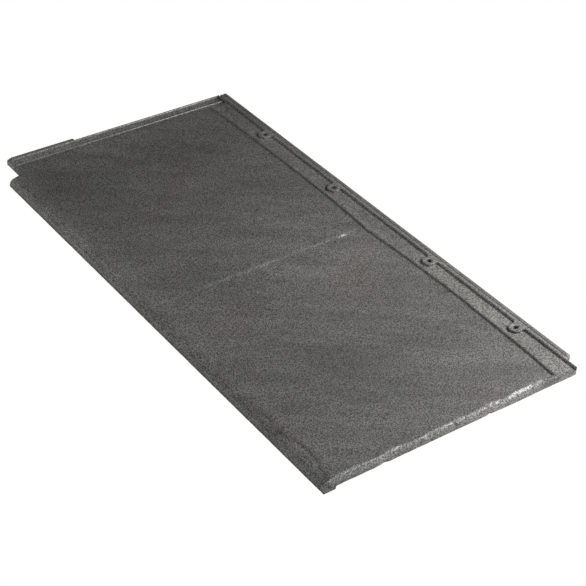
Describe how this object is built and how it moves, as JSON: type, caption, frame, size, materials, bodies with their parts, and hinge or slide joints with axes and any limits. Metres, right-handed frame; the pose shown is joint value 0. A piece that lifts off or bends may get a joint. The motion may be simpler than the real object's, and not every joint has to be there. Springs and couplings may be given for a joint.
{
  "type": "slate roof tile",
  "caption": "Moulded slate-effect roof tile that reads as slates side by side, with a ribbed side underlap, a raised nail strip with bosses and a dressed tail edge.",
  "frame": {"origin": "centre of the tile's footprint, on the level that its underside rests on", "axes": "+X along the course, from the ribbed underlap on the left to the overlapping edge on the right; +Y up the roof, from the tail to the head; +Z away from the roof"},
  "size_m": [0.627, 0.302, 0.0145],
  "materials": {
    "slate_tile": "satin, riven slate texture"
  },
  "bodies": {
    "root": {"slate_tile": "slate_tile"}
  },
  "joints": []
}
